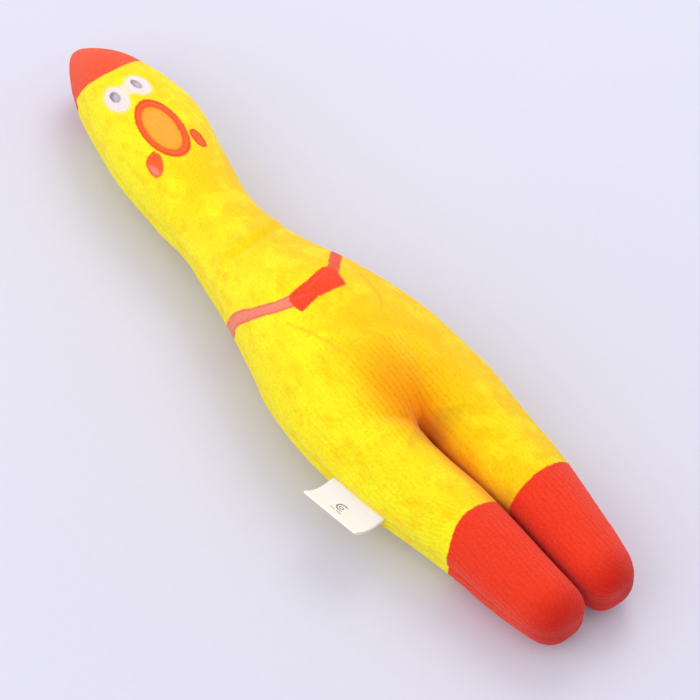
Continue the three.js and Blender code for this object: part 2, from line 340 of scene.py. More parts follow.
def grid_faces(ids, closed=False):
    """Four point numbers for each cell of a grid of point numbers."""
    if closed:
        ids = np.concatenate([ids, ids[:, :1]], axis=1)
    cells = [ids[:-1, :-1], ids[:-1, 1:], ids[1:, 1:], ids[1:, :-1]]
    return np.stack(cells, axis=2).reshape(-1, 4)


# ---- meshes ----------------------------------------------------------------------------------
def add_mesh(name, points, faces, material=None, normals=None, layers=None):
    """A smooth mesh object from points in millimetres; unused points are left out."""
    used, local = np.unique(faces, return_inverse=True)
    corners = [list(dict.fromkeys(face)) for face in local.reshape(faces.shape).tolist()]
    mesh = bpy.data.meshes.new(name)
    mesh.from_pydata(points[used] * MM, [], [face for face in corners if len(face) > 2])
    for label, values in (layers or {}).items():
        layer = mesh.attributes.new(label, "FLOAT_VECTOR", "POINT")
        layer.data.foreach_set("vector", values[used].astype(np.float32).ravel())
    mesh.shade_smooth()
    if normals is not None:
        mesh.normals_split_custom_set_from_vertices(normals[used].tolist())
    if material:
        mesh.materials.append(material)
    made = bpy.data.objects.new(name, mesh)
    bpy.context.scene.collection.objects.link(made)
    return made


# ---- pressure simulation ---------------------------------------------------------------------
def pressed_places(trial, pinned):
    """Where the points of a closed shell of cloth come to rest under pressure, in metres."""
    sewn = trial.vertex_groups.new(name="sewn")
    sewn.add(pinned.tolist(), 1.0, "REPLACE")
    settings = trial.modifiers.new("cloth", "CLOTH").settings
    settings.vertex_group_mass = "sewn"
    settings.quality = 6
    settings.mass = 0.2
    settings.tension_stiffness = 12
    settings.compression_stiffness = 12
    settings.shear_stiffness = 4
    settings.bending_stiffness = 0.3
    settings.use_pressure = True
    settings.uniform_pressure_force = PRESSURE
    settings.effector_weights.gravity = 0
    scene = bpy.context.scene
    for number in range(1, PRESSURE_FRAMES + 1):
        scene.frame_set(number)
    solved = trial.evaluated_get(bpy.context.evaluated_depsgraph_get())
    places = np.zeros(len(solved.data.vertices) * 3)
    solved.data.vertices.foreach_get("co", places)
    scene.frame_set(1)
    return places.reshape(-1, 3)


def swelling(shell):
    """How far stuffing moves each point of a coarse shell, by cloth under pressure."""
    start = shell.points - SWELL_ROOM * shell.normals(shell.points)
    used = np.unique(shell.faces)
    trial = add_mesh("stuffing_trial", start, shell.faces)
    places = pressed_places(trial, np.flatnonzero(shell.seam[used] < 0.01))
    bpy.data.objects.remove(trial)
    moved = places / MM - shell.points[used]
    normal = shell.normals(shell.points)[used]
    outward = np.sum(moved * normal, axis=1, keepdims=True)
    sliding = moved - outward * normal
    length = np.linalg.norm(sliding, axis=1, keepdims=True)
    sliding *= np.minimum(1, SLIDE_LIMIT / np.maximum(length, 1e-9))
    result = np.zeros_like(shell.points)
    result[used] = sliding + np.clip(outward, *SWELL_LIMITS) * normal
    return result


def spline_rows(grid, places, closed):
    """Catmull-Rom values of a grid at fractional row places."""
    base = np.floor(places).astype(int)
    t = places - base
    weights = (
        -t / 2 + t ** 2 - t ** 3 / 2, 1 - 5 * t ** 2 / 2 + 3 * t ** 3 / 2,
        t / 2 + 2 * t ** 2 - 3 * t ** 3 / 2, -t ** 2 / 2 + t ** 3 / 2,
    )
    total = 0
    for offset, weight in zip((-1, 0, 1, 2), weights):
        i = base + offset
        i = i % len(grid) if closed else np.clip(i, 0, len(grid) - 1)
        total = total + weight[:, None, None] * grid[i]
    return total


def carried_over(values, coarse, fine):
    """Values at the points of a coarse skin, read at the points of a fine one."""
    result = np.zeros_like(fine.points)
    grids = [(coarse.legs[k], fine.legs[k], coarse.leg_y, fine.leg_y) for k in (0, 1)]
    grids.append((coarse.body, fine.body, coarse.body_y, fine.body_y))
    for coarse_ids, fine_ids, coarse_y, fine_y in grids:
        order = 1 if coarse_y[0] < coarse_y[-1] else -1
        row = np.interp(order * fine_y, order * coarse_y, np.arange(len(coarse_y)))
        column = np.arange(fine_ids.shape[1]) * coarse.columns / fine.columns
        grid = spline_rows(values[coarse_ids], row, False)
        grid = spline_rows(grid.transpose(1, 0, 2), column, True).transpose(1, 0, 2)
        result[fine_ids] = grid
    return result


# ---- the finished skin -----------------------------------------------------------------------
def folds(points, front):
    """Depth of the slack cloth's folds: across the neck, over one thigh, round the crotch."""
    x, y = points[:, 0], points[:, 1]
    across = x - middle_x(y)
    bow_line = y - 27.2 - 0.22 * x - 0.013 * x * x
    crease = bump(bow_line, 0, 1.5) * smooth(np.abs(x + 1), 17, 9)
    roll = bump(bow_line, 4.5, 2.6) * smooth(np.abs(x + 1), 17, 8)
    second = bump(bow_line, 9.5, 1.6) * smooth(np.abs(x - 3), 12, 5)
    groin = y + 61.5 + 0.46 * (x + 3)
    reach = smooth(x, -21, -10) * smooth(x, 0, -5)
    thigh = (0.9 * bump(groin, 0, 1.4) - 0.5 * bump(groin, -4.5, 3)) * reach * front
    depth = (1.5 * crease - 0.5 * roll + 0.5 * second) * front
    fan = np.cos(1.1 * np.arctan2(across, np.maximum(y - CROTCH_Y, 1) + 6) * 12)
    near = bump(np.hypot(across, y - CROTCH_Y), 16, 10) * smooth(y, CROTCH_Y, CROTCH_Y + 9)
    return depth + thigh + 0.25 * fan * near


def finished_skin(skin, moved):
    """Points and normals of the fine skin with its lumps, folds, seams and ribs."""
    base = skin.points
    front = (base[:, 2] > seam_z(base[:, 1])).astype(float)
    points = base + moved
    normal = skin.normals(points)
    lumps = sum(height * value_noise(base, size, seed) for height, size, seed in LUMPS)
    pucker = 1 + 0.5 * np.sin(2 * math.pi * base[:, 1] / PUCKER_PITCH + 2 * value_noise(base, 12, 5))
    groove = SEAM_DEPTH * np.exp(-skin.seam / SEAM_WIDTH)
    groove += PUCKER_DEPTH * pucker * np.exp(-skin.seam / PUCKER_WIDTH)
    groove *= mix(0.3, 1, smooth(np.abs(base[:, 0] - middle_x(base[:, 1])), 4, 10))
    groove *= mix(0.2, 1, smooth(base[:, 1], FEET_END + 6, FEET_END + 32))
    relief = lumps - groove + 0.3 * bump(skin.seam, 5, 3) - folds(base, front)
    points = points + relief[:, None] * normal
    normal = skin.normals(points)
    wander = value_noise(base * [1, 0.25, 1], 7, 6)
    phase = (skin.arc + 0.22 * wander) / RIB_PITCH
    fading = 1 - 0.8 * np.exp(-skin.seam / 1.5)
    fading *= mix(1, RIB_FADE, smooth(base[:, 1], -50, 30))
    points = points + (RIB_DEPTH * fading * np.cos(2 * math.pi * phase))[:, None] * normal
    z = points[:, 2]
    points[:, 2] = (z + np.sqrt(z * z + FLOOR_EASE)) / 2
    return points, skin.normals(points), phase


# ---- node trees ------------------------------------------------------------------------------
class Number:
    """A value in a node tree; arithmetic on it adds Math nodes."""

    def __init__(self, tree, socket):
        self.tree = tree
        self.socket = socket

    def math(self, operation, *others):
        node = self.tree.nodes.new("ShaderNodeMath")
        node.operation = operation
        for slot, value in zip(node.inputs, (self, *others)):
            connect(self.tree, value, slot)
        return Number(self.tree, node.outputs[0])

    def __add__(self, other):
        return self.math("ADD", other)

    def __sub__(self, other):
        return self.math("SUBTRACT", other)

    def __mul__(self, other):
        return self.math("MULTIPLY", other)

    def __truediv__(self, other):
        return self.math("DIVIDE", other)

    def low(self, other):
        return self.math("MINIMUM", other)

    def high(self, other):
        return self.math("MAXIMUM", other)

    def size(self):
        return self.math("ABSOLUTE")

    def hypot(self, other):
        return (self * self + other * other).math("SQRT")

    def fade(self, start, end):
        """0 at start, 1 at end."""
        node = self.tree.nodes.new("ShaderNodeMapRange")
        node.interpolation_type = "SMOOTHSTEP"
        node.inputs["From Min"].default_value = start
        node.inputs["From Max"].default_value = end
        connect(self.tree, self, node.inputs["Value"])
        return Number(self.tree, node.outputs["Result"])


def connect(tree, value, slot):
    if isinstance(value, Number):
        tree.links.new(value.socket, slot)
    elif isinstance(value, bpy.types.NodeSocket):
        tree.links.new(value, slot)
    else:
        slot.default_value = value


def linear(rgb):
    """A screen colour, 0 to 255, as the linear colour that nodes use."""
    values = [c / 255 for c in rgb]
    return [c / 12.92 if c <= 0.04045 else ((c + 0.055) / 1.055) ** 2.4 for c in values] + [1]


FINISH_SLOTS = {
    "roughness": "Roughness", "specular": "Specular IOR Level",
    "sheen": "Sheen Weight", "sheen_roughness": "Sheen Roughness",
}


class Painter:
    """Builds one material: shapes, colour layers and relief feed its Principled shader."""

    def __init__(self, name, **finish):
        self.material = bpy.data.materials.new(name)
        self.material.use_nodes = True
        self.tree = self.material.node_tree
        self.shader = self.tree.nodes["Principled BSDF"]
        for label, value in finish.items():
            self.shader.inputs[FINISH_SLOTS[label]].default_value = value

    def node(self, kind, **inputs):
        made = self.tree.nodes.new(kind)
        for label, value in inputs.items():
            connect(self.tree, value, made.inputs[label.capitalize()])
        return made

    def layer_values(self, label):
        """The three numbers of a mesh layer, and its vector socket."""
        source = self.tree.nodes.new("ShaderNodeAttribute")
        source.attribute_name = label
        parts = self.node("ShaderNodeSeparateXYZ", vector=source.outputs["Vector"])
        return [Number(self.tree, out) for out in parts.outputs], source.outputs["Vector"]

    def noise(self, vector, scale, detail=2.0, roughness=0.5):
        """Noise from 0 to 1 about 0.5."""
        made = self.node("ShaderNodeTexNoise", vector=vector, scale=scale, detail=detail,
                         roughness=roughness)
        return Number(self.tree, made.outputs["Fac"])

    def stretched(self, vector, scale):
        made = self.node("ShaderNodeMapping", vector=vector, scale=scale)
        return made.outputs["Vector"]

    def over(self, under, colour, cover):
        """A colour laid over another where cover is 1."""
        made = self.tree.nodes.new("ShaderNodeMix")
        made.data_type = "RGBA"
        slots = {slot.identifier: slot for slot in made.inputs}
        connect(self.tree, cover, slots["Factor_Float"])
        connect(self.tree, under, slots["A_Color"])
        connect(self.tree, colour, slots["B_Color"])
        return next(out for out in made.outputs if out.identifier == "Result_Color")

    def shaded(self, colour, value):
        """A colour made darker or lighter by a number near 1."""
        made = self.tree.nodes.new("ShaderNodeVectorMath")
        made.operation = "SCALE"
        connect(self.tree, colour, made.inputs[0])
        connect(self.tree, value, made.inputs["Scale"])
        return made.outputs[0]

    def finish(self, colour, height, depth):
        """Colour and relief, height in millimetres times depth, into the shader."""
        connect(self.tree, colour, self.shader.inputs["Base Color"])
        relief = self.node("ShaderNodeBump", height=height, distance=MM * depth)
        connect(self.tree, relief.outputs["Normal"], self.shader.inputs["Normal"])
        return self.material


# ---- printed shapes: distance to the edge in millimetres, below 0 inside ---------------------
def disc(x, y, centre, radii, tilt=0):
    """An oval, turned by tilt degrees."""
    c, s = math.cos(math.radians(tilt)), math.sin(math.radians(tilt))
    dx, dy = x - centre[0], y - centre[1]
    along = dx * (c / radii[0]) + dy * (s / radii[0])
    across = dy * (c / radii[1]) - dx * (s / radii[1])
    return (along.hypot(across) - 1) * min(radii)


def bar(x, y, start, end, half, end_half=None):
    """A stripe between two points, its half width changing from one end to the other."""
    run = (end[0] - start[0], end[1] - start[1])
    length2 = run[0] ** 2 + run[1] ** 2
    dx, dy = x - start[0], y - start[1]
    t = ((dx * run[0] + dy * run[1]) / length2).high(0).low(1)
    width = t * ((end_half if end_half is not None else half) - half) + half
    return (dx - t * run[0]).hypot(dy - t * run[1]) - width


def facets(x, y, points):
    """A convex shape, its corners listed clockwise as seen from the front."""
    result = None
    for a, b in zip(points, points[1:] + points[:1]):
        length = math.dist(a, b)
        nx, ny = -(b[1] - a[1]) / length, (b[0] - a[0]) / length
        side = (x - a[0]) * nx + (y - a[1]) * ny
        result = side if result is None else result.high(side)
    return result


def stripe(x, y, places, half):
    """A stripe through several places, each given with its own half width factor."""
    result = None
    for a, b in zip(places, places[1:]):
        part = bar(x, y, a[:2], b[:2], half * a[2], half * b[2])
        result = part if result is None else result.low(part)
    return result


# ---- velour ----------------------------------------------------------------------------------
YELLOW = (255, 209, 6)
PALE_YELLOW = (255, 242, 28)
WARM_YELLOW = (255, 197, 0)
GOLD = (255, 194, 2)
ORANGE = (255, 152, 0)
CAP_RED = (246, 88, 50)
FOOT_RED = (242, 60, 32)
PAINTED_FOOT_SHADE = (206, 30, 16)
BEAK_OUTLINE = (222, 70, 28)
BEAK_RING = (246, 88, 42)
BEAK_INSIDE = (255, 164, 44)
BEAK_LIGHT = (255, 176, 62)
WATTLE_ORANGE = (248, 100, 44)
WATTLE_PINK_HIGHLIGHT = (250, 156, 140)
COLLAR_PINK = (248, 138, 112)
COLLAR_EDGE = (234, 108, 62)
COLLAR_RED = (240, 92, 60)
BOW_RED = (246, 72, 38)
BOW_LIGHT = (248, 108, 76)
EYE_WHITE = (246, 230, 226)
EYE_GLOW = (252, 232, 150)
PUPIL_LIGHT = (198, 190, 200)
PUPIL_DARK = (118, 108, 118)
STROKE = (238, 150, 40)
PRINT_EDGE = 0.35            # softness of printed edges


class Velour(Painter):
    """Ribbed velour: cut pile in narrow ribs along the toy, printed after weaving."""

    def __init__(self, name):
        super().__init__(name, roughness=0.85, sheen=0.17, sheen_roughness=0.4,
                         specular=0.12)
        (self.x, self.y, _), self.place = self.layer_values("print")
        (self.phase, self.along, self.seam), self.cloth = self.layer_values("cloth")
        wobble = self.noise(self.place, 0.9, 3) - 0.5
        drift = self.noise(self.stretched(self.place, (1.1, 1.1, 0)), 0.7, 3) - 0.5
        self.drift = drift
        self.print_x = self.x + wobble * 0.9
        self.print_y = self.y + drift * 0.9
        mottle = self.noise(self.place, 0.085, 3, 0.6)
        blotch = self.noise(self.stretched(self.place, (1, 0.5, 1)), 0.24, 4, 0.62)
        # Paler in random patches and over the head, and paler on the left side: painted light falling from
        # the left.
        side = self.x.fade(4, -20) * 0.8 + self.y.fade(60, 105) * 0.5
        pale_mottle_and_left_light = (mottle.fade(0.48, 0.62) * 0.5 + side).low(1)
        self.colour = self.over(linear(YELLOW), linear(PALE_YELLOW), pale_mottle_and_left_light)
        self.colour = self.over(self.colour, linear(WARM_YELLOW), blotch.fade(0.46, 0.7) * 0.45)

    def paint(self, colour, distance, soft=PRINT_EDGE, strength=1.0):
        cover = distance.fade(soft, -soft)
        if strength != 1.0:
            cover = cover * strength
        self.colour = self.over(self.colour, linear(colour), cover)

    def done(self):
        """Pile, painted shade in the rib grooves and along the seams, and fine relief common to all the
        velour.
        """
        wave = (self.phase * (2 * math.pi)).math("COSINE")
        # Painted shade in the rib grooves, deeper round the hollow between the legs.
        hollow = disc(self.x, self.y, (-1, -50), (18, 18)).fade(8, -8) * 0.08
        groove = wave.fade(-0.1, -0.95) * (self.y.fade(20, -110) * 0.04 + hollow)
        rows = (self.along * (2 * math.pi / ROW_PITCH) + (self.drift * 5)).math("COSINE")
        pile = self.noise(self.stretched(self.cloth, (RIB_PITCH, 1, 1)), 2.6, 4, 0.6)
        nap = self.noise(self.stretched(self.cloth, (RIB_PITCH, 0.28, 1)), 1.3, 2)
        speck = self.noise(self.cloth, 0.95, 3, 0.75)
        shade = (pile - 0.5) * 0.25 + (nap - 0.5) * 0.22 + (speck - 0.5) * 0.42 - groove + 1.02
        shade = shade + rows * wave * 0.012
        # Painted shade in the seams' grooves.
        shade = shade - self.seam.fade(1.4, 0) * 0.08
        height = wave * self.y.fade(60, -90) * 0.035 + rows * 0.02
        height = height + (pile - 0.5) * 0.3 + (speck - 0.5) * 0.45
        return super().finish(self.shaded(self.colour, shade), height, 1.0)


def eye(velour, centre, radii, pupil, pupil_radii, tilt):
    """The white of an eye, a dark pupil, and the paler middle of the pupil."""
    x, y = velour.print_x, velour.print_y
    white = disc(x, y, centre, radii, tilt)
    velour.paint(EYE_GLOW, white - 0.4, 0.8, 0.8)
    velour.paint(EYE_WHITE, white, 0.5)
    inside = disc(x, y, pupil, pupil_radii, tilt)
    velour.paint(PUPIL_DARK, inside)
    lit_radii = (pupil_radii[0] * 0.9, pupil_radii[1] * 0.85)
    lit = disc(x, y, (pupil[0] + 0.3, pupil[1] - 0.9), lit_radii, tilt)
    velour.paint(PUPIL_LIGHT, lit.high(inside), 0.8, 0.95)


def beak(velour):
    x, y = velour.print_x, velour.print_y
    outline = disc(x, y, (0.5, 88.8), (7.7, 14.7), -2)
    velour.paint(BEAK_OUTLINE, outline)
    velour.paint(BEAK_RING, outline + 0.45)
    # Painted highlight along the middle of the ring.
    velour.paint(BEAK_LIGHT, (outline + 1.1).size() - 0.15, 0.5, 0.25)
    inside = disc(x, y, (0.2, 88.7), (5.2, 10.9), -2)
    velour.paint(BEAK_INSIDE, inside)
    velour.paint(BEAK_LIGHT, inside + 0.9, 0.9, 0.6)


def wattles(velour):
    x, y = velour.print_x, velour.print_y
    left = facets(x, y, [
        (-7.7, 82.6), (-6.9, 79.6), (-8, 76.6), (-9.6, 74.4), (-11.1, 73.6), (-12.5, 74.4), (-12.9, 77.4),
        (-12.2, 81.2), (-10.4, 82.5),
    ])
    velour.paint(WATTLE_ORANGE, left - 0.25)
    # Painted highlight: pink on the left wattle's left side.
    velour.paint(WATTLE_PINK_HIGHLIGHT, disc(x, y, (-12, 77.2), (1.2, 3.2), 12).high(left + 0.5), 0.7, 0.7)
    right = facets(x, y, [
        (8.4, 82.9), (10.2, 83.3), (11.2, 81.5), (11.3, 78.4), (10.4, 75.3), (8.7, 74.7), (7.5, 76.6),
        (7.5, 80.2),
    ])
    velour.paint(BEAK_OUTLINE, right - 0.2)
    velour.paint(WATTLE_ORANGE, right + 0.4)


def front_head_velour():
    velour = Velour("velour_front_head")
    x, y = velour.print_x, velour.print_y
    off = x - 4.5
    velour.paint(CAP_RED, off * off * (off.fade(0.5, -0.5) * 0.014 + 0.018) + 122.9 - y)
    velour.paint(EYE_WHITE, disc(x, y, (0, 111.5), (2.6, 3.2), 20), 0.9, 0.9)
    eye(velour, (-4.6, 110.7), (3.7, 6.5), (-4.6, 112), (1.5, 2.8), 0)
    eye(velour, (4.9, 110.6), (3.9, 5.6), (4.5, 111.4), (1.35, 2.8), 9)
    beak(velour)
    wattles(velour)
    return velour.done()


def back_head_velour():
    velour = Velour("velour_back_head")
    velour.paint(CAP_RED, (velour.y - 129.3 + velour.x * 0.12) * -1)
    return velour.done()


def collar(velour, colour, places):
    """The printed collar ribbon with its darker edges."""
    strip = stripe(velour.print_x, velour.print_y, places, 2)
    velour.paint(colour, strip)
    velour.paint(COLLAR_EDGE, (strip + 0.35).size() - 0.3, 0.35, 0.7)


def bow(velour):
    x, y = velour.print_x, velour.print_y
    left = facets(x, y, [
        (-11.6, -4.4), (-10.4, -2.6), (-2.6, -2), (-2.6, -9.6), (-4.2, -9.9), (-10.6, -13), (-12, -8),
    ])
    right = facets(x, y, [(-3.6, -2.4), (5.4, 0.2), (7.8, -0.3), (9.1, -3.3), (7.8, -10.6), (-3.2, -10)])
    both = left.low(right)
    velour.paint(BOW_RED, both)
    shine = bar(x, y, (-10, -5.2), (-4, -7.5), 0.25).low(bar(x, y, (-4, -4.6), (6, -2.4), 0.2))
    velour.paint(BOW_LIGHT, shine.high(both + 0.5), 0.5, 0.6)


def crotch_print_and_painted_shade(velour):
    """Orange round the legs' hollow and gold over the lower belly: part print, part painted shade and
    bounce.
    """
    x, y = velour.x, velour.y
    belly = disc(x, y, (3, -46), (20, 21))
    velour.paint(GOLD, belly, 10, 0.6)
    # Painted shade and bounced light: an orange strip down the valley between the legs.
    strip = bar(x, y, (-0.6, -58), (1.8, -98), 4.9, 2.4)
    velour.paint(ORANGE, strip, 3.5, 0.8)
    # Part print, part painted shade: orange round the hollow between the legs.
    hollow = disc(x, y, (-1.5, -53.5), (10, 13))
    velour.paint(ORANGE, hollow, 7, 0.75)


def front_body_velour():
    velour = Velour("velour_front_body")
    x, y = velour.print_x, velour.print_y
    crotch_print_and_painted_shade(velour)
    collar(velour, COLLAR_PINK, [
        (-27.5, 13, 0.9), (-25.1, 8.4, 0.95), (-22.6, 3.7, 0.95), (-19.3, 0, 1), (-15.8, -3, 1.1),
        (-11, -5.3, 1.25),
    ])
    collar(velour, COLLAR_RED, [(8.4, -2.5, 1), (14, 3.6, 1.05), (17.3, 7.4, 1), (27, 18, 1)])
    bow(velour)
    for places in (
        [(16.4, -7.8, 1), (16.3, -12.7, 1), (15.1, -19.6, 1), (12.4, -24.5, 0.6)],
        [(-17.2, -11, 1), (-14.2, -18.1, 1), (-11.6, -25.9, 1), (-9.5, -33.4, 0.6)],
    ):
        velour.paint(STROKE, stripe(x, y, places, 0.25), 0.9, 0.5)
    return velour.done()


def back_body_velour():
    velour = Velour("velour_back_body")
    crotch_print_and_painted_shade(velour)
    collar(velour, COLLAR_PINK, [
        (-28, 10.5, 1), (-25.5, 13, 1), (-19, 17, 1), (0, 19, 1), (15, 16.5, 1), (22, 12, 1), (27, 7, 1),
    ])
    return velour.done()


def leg_velour(name, side, back):
    """One leg: yellow above, a red foot below, with painted shade at the foot's tip."""
    velour = Velour(name)
    crotch_print_and_painted_shade(velour)
    x, y = velour.print_x, velour.print_y
    if side > 0:
        foot = y + 100.3 - (x - 16).low(0) * 0.1
    elif back:
        foot = y + 99 - x * 0.25
    else:
        beyond = (x + 9.5).low(0)
        foot = y + 98.5 + beyond * beyond * 0.03
    velour.paint(FOOT_RED, foot)
    # Painted shade: darker red over the foot's tip.
    velour.paint(PAINTED_FOOT_SHADE, y + 138.5, 8, 0.95)
    # Painted shade: darker red on the right foot's inner side.
    if side > 0:
        velour.paint(PAINTED_FOOT_SHADE, foot.high(x - 4), 6, 0.5)
    return velour.done()


# ---- other materials -------------------------------------------------------------------------
def fibre_material():
    """White curled polyester fibre."""
    painter = Painter("fibre_filling", roughness=0.9, sheen=0.3)
    place = painter.tree.nodes.new("ShaderNodeTexCoord").outputs["Object"]
    curls = painter.noise(place, 900, 5, 0.65)
    clumps = painter.noise(place, 120, 2)
    colour = painter.over(linear((226, 226, 220)), linear((252, 252, 248)), curls.fade(0.35, 0.65))
    return painter.finish(painter.shaded(colour, clumps * 0.2 + 0.9), curls + clumps, 0.5)


def tape_material():
    """Woven label tape with a small generic printed mark and a painted highlight on its fold."""
    painter = Painter("label_tape", roughness=0.5, sheen=0.1)
    (along, out, face), vector = painter.layer_values("tape")
    turn = 2 * math.pi / WEAVE_PITCH
    weave = (along * turn).math("SINE") * (out * turn).math("SINE")
    grain = painter.noise(vector, 1.5, 3)
    colour = painter.over(linear((250, 246, 254)), linear((254, 251, 255)), grain)
    # Painted highlight along the folded edge.
    colour = painter.over(colour, linear((255, 254, 255)), out.fade(10.4, 11.2))
    ring = (disc(along, out, (0.3, 6.0), (1.9, 1.5)).size() - 0.22).high(along * -1 - 0.6)
    dot = disc(along, out, (0.6, 6.1), (0.7, 0.5)).size() - 0.14
    mark = ring.low(dot)
    for shift in (-1.4, 1.2):
        mark = mark.low(bar(along, out, (shift, 8.6), (shift + 1.6, 8.6), 0.16))
    cover = mark.fade(0.12, -0.12) * face.fade(0.4, 0.6)
    colour = painter.over(colour, linear((84, 80, 84)), cover * 0.85)
    return painter.finish(painter.shaded(colour, weave * 0.02 + 0.99), weave * 0.04 + grain * 0.06, 1.0)


def thread_material():
    """Twisted sewing thread; its two plies run round it."""
    painter = Painter("thread", roughness=0.6, sheen=0.25)
    (round_share, along, _), vector = painter.layer_values("thread")
    twist = ((round_share * 2 + along * 1.6) * (2 * math.pi)).math("SINE")
    fluff = painter.noise(vector, 6, 3)
    colour = painter.over(linear((236, 206, 10)), linear((255, 240, 60)), twist.fade(-0.6, 0.8))
    return painter.finish(painter.shaded(colour, fluff * 0.2 + 0.9), twist * 0.05 + fluff * 0.03, 1.0)


def plastic_material(name, colour, roughness):
    """Blow-moulded plastic with a faint grain and flow marks."""
    painter = Painter(name, roughness=roughness, specular=0.4)
    place = painter.tree.nodes.new("ShaderNodeTexCoord").outputs["Object"]
    flow = painter.noise(place, 160, 3)
    grain = painter.noise(place, 2600, 2)
    tint = painter.over(linear(colour), linear([min(c + 12, 255) for c in colour]), flow)
    return painter.finish(painter.shaded(tint, grain * 0.06 + 0.97), grain + flow * 2, 0.04)


# ---- pieces ----------------------------------------------------------------------------------
def bend_neck(piece):
    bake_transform(piece)


def bend_hip(piece):
    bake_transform(piece)


def add_skin():
    """The front and back velour panels, one piece for each moving region."""
    coarse = Skin(COARSE_COLUMNS, COARSE_STEP, False)
    fine = Skin(FINE_COLUMNS, FINE_STEP, True)
    moved = carried_over(swelling(coarse), coarse, fine)
    points, normals, phase = finished_skin(fine, moved)
    layers = {
        "print": fine.points,
        "cloth": np.stack([phase, fine.points[:, 1], fine.seam], axis=1),
    }

    def panel(name, ids, flip, material):
        faces = grid_faces(ids)
        made = add_mesh(name, points, faces[:, ::-1] if flip else faces, material, normals, layers)
        return made

    n, neck = FINE_COLUMNS, fine.neck_row
    ring = np.concatenate([fine.body, fine.body[:, :1]], axis=1)
    looks = {"front": (front_head_velour, front_body_velour), "back": (back_head_velour, back_body_velour)}
    for face, columns in (("front", slice(0, 2 * n + 1)), ("back", slice(2 * n, 4 * n + 1))):
        head_look, body_look = looks[face]
        head = panel(f"{face}_velour_head", ring[neck:, columns], False, head_look())
        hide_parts(f"{face}_panel_head", f"{face}_panel_neck")
        bend_neck(head)
        body = panel(f"{face}_velour_body", ring[:neck + 1, columns], False, body_look())
        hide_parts(f"{face}_panel_body")
        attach(body, "torso")
    for side, sign, ids in (("left", -1, fine.legs[0]), ("right", 1, fine.legs[1])):
        ring = np.concatenate([ids, ids[:, :1]], axis=1)
        for face, columns in (("front", slice(0, n + 1)), ("back", slice(n, 2 * n + 1))):
            look = leg_velour(f"velour_{face}_{side}_leg", sign, face == "back")
            leg = panel(f"{face}_velour_{side}_leg", ring[:, columns], True, look)
            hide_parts(f"{face}_panel_{side}_leg", f"{face}_panel_{side}_hip")
            bend_hip(leg)


def add_capped_tube(name, rings, material):
    """A closed form through rings of points, with a fan over each end."""
    rows, columns, _ = rings.shape
    ids = np.arange(rows * columns).reshape(rows, columns)
    points = np.concatenate([rings.reshape(-1, 3), rings[0].mean(0)[None], rings[-1].mean(0)[None]])
    first, last = rows * columns, rows * columns + 1
    step = np.roll(ids, -1, axis=1)
    low = np.stack([ids[0], np.full(columns, first), np.full(columns, first), step[0]], axis=1)
    high = np.stack([ids[-1], step[-1], np.full(columns, last), np.full(columns, last)], axis=1)
    return add_mesh(name, points, np.concatenate([grid_faces(ids, True), low, high]), material)


def fibre_lumps(points, seed):
    return 0.35 * value_noise(points, 5, seed) + 0.2 * value_noise(points, 2, seed + 1)


def shrunk(points, ids, middles):
    """Rings drawn in towards their middles, with the fibre's uneven surface."""
    rings = points[ids]
    centre = np.stack([middles[0], rings[:, 0, 1], middles[1]], axis=1)[:, None, :]
    grow = FILLING_KEEP + 0.03 * fibre_lumps(rings.reshape(-1, 3), 11).reshape(ids.shape)[:, :, None]
    return centre + (rings - centre) * np.concatenate([grow, np.ones_like(grow), grow], axis=2)


def add_fillings():
    fibre = fibre_material()
    form = Skin(24, 2.5, False)
    height = np.maximum(form.points[:, 2], 0.3)
    form.points[:, 2] = height

    def finish(made, nodes):
        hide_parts(*nodes)

    stop = int(np.searchsorted(form.body_y, HEAD_END - FILLING_END))
    rows = slice(form.neck_row + 1, stop)
    y = form.body_y[rows]
    head = add_capped_tube(
        "fibre_filling_head", shrunk(form.points, form.body[rows], (middle_x(y), seam_z(y))), fibre)
    finish(head, ["filling_head", "filling_neck"])
    bend_neck(head)
    for side, sign, ids in (("left", -1, form.legs[0]), ("right", 1, form.legs[1])):
        rows = slice(2, int(np.sum(form.leg_y > FEET_END + FILLING_END)))
        y = form.leg_y[rows]
        centre = middle_x(y) + sign * (half_width(y) + LEG_HALF_GAP) / 2
        rings = shrunk(form.points, ids[rows], (centre, seam_z(y)))[:, ::-1]
        leg = add_capped_tube(f"fibre_filling_{side}_leg", rings, fibre)
        finish(leg, [f"filling_{side}_leg", f"filling_{side}_hip"])
        bend_hip(leg)
    add_body_filling(form, fibre, finish)


def add_body_filling(form, fibre, finish):
    """Two wads, over and under the squeaker, each hollowed to hold it."""
    low, high = (np.array(corner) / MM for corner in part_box("squeaker_bulb_lower"))
    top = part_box("squeaker_bulb_upper")[1][2] / MM
    centre = (low + high) / 2
    radius = (high[0] - low[0]) / 2 + 0.6
    y = form.body_y[2:form.neck_row]
    rings = shrunk(form.points, form.body[2:form.neck_row], (middle_x(y), seam_z(y)))
    n = form.columns
    for face, sign, columns in (("front", 1, slice(1, 2 * n)), ("back", -1, slice(2 * n + 1, 4 * n))):
        outer = rings[:, columns]
        seam = seam_z(outer[:, :, 1])
        away = np.hypot(outer[:, :, 0] - centre[0], outer[:, :, 1] - centre[1])
        reach = (top if sign > 0 else low[2]) + sign * 0.5
        hollow = mix(seam + sign * 0.2, reach, smooth(away, radius + 1.4, radius))
        inner = outer.copy()
        limit = seam + (outer[:, :, 2] - seam) * 0.9
        inner[:, :, 2] = np.minimum(hollow, limit) if sign > 0 else np.maximum(hollow, limit)
        loops = np.concatenate([outer, inner[:, ::-1]], axis=1)
        made = add_capped_tube(f"fibre_filling_{face}", loops, fibre)
        finish(made, [f"filling_body_{face}"])
        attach(made, "torso")


